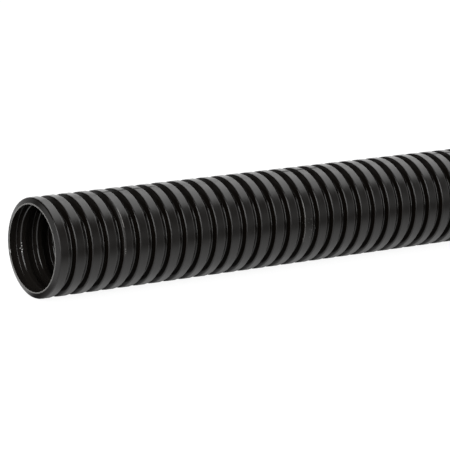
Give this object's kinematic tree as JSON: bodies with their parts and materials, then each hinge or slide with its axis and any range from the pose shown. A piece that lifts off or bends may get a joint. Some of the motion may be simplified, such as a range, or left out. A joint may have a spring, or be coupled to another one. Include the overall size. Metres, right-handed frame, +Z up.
{
  "type": "corrugated electrical conduit",
  "caption": "Length of flexible corrugated plastic conduit: a thin moulded tube with ring-shaped waves that carries and protects electrical cables.",
  "frame": {"origin": "centre of the bore at the near cut end", "axes": "+X along the tube's axis towards the far cut end, +Z up; the tube lies level on its side"},
  "size_m": [1, 0.0544, 0.0544],
  "materials": {
    "black_plastic": "satin, as moulded"
  },
  "bodies": {
    "root": {"conduit": "black_plastic"}
  },
  "joints": []
}
